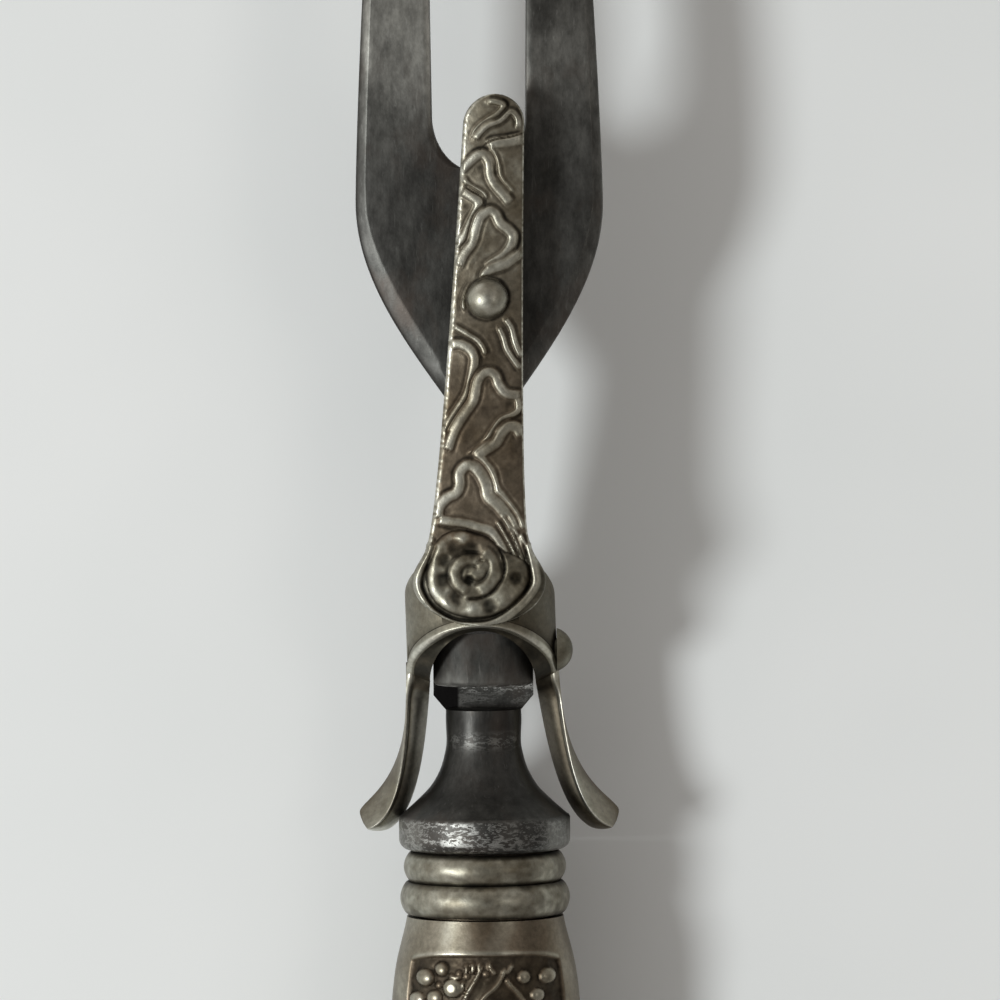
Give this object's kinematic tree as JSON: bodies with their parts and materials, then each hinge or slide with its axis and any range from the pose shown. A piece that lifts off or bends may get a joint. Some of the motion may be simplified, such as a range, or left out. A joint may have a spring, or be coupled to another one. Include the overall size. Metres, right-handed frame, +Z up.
{
  "type": "carving fork",
  "caption": "Carving fork with long curved tines, a hinged ornamental knife guard that folds over the shank, a turned bolster, a beaded collar and a hollow metal handle.",
  "frame": {"origin": "on the table plane, under the centre of the fork's outline, as the fork lies on its tine tips and handle with the guard folded on top", "axes": "+Y from the handle to the tine tips, +X to the side of the pin's domed head, +Z up, the convex side of the tines"},
  "size_m": [0.0322, 0.2988, 0.0314],
  "materials": {
    "dark_steel": "tarnished forged steel with fine scratches along its length",
    "nickel_silver": "worn nickel silver, dark in the hollows and bright on the high spots",
    "spring_steel": "dull spring steel",
    "cement": "matt brown handle cement"
  },
  "bodies": {
    "fork": {"fork_forging": "dark_steel", "ferrule": "nickel_silver", "handle_front_shell": "nickel_silver", "handle_back_shell": "nickel_silver", "handle_filler": "cement"},
    "guard": {"guard": "nickel_silver", "hinge_pin": "nickel_silver", "spring_rivet": "nickel_silver", "guard_spring": "spring_steel"}
  },
  "joints": [
    {"name": "guard_hinge", "type": "hinge", "parent": "fork", "child": "guard", "pos_m": [0, -0.00623, 0.01816], "axis": [1, 0, 0], "range_deg": [0, 90]}
  ]
}
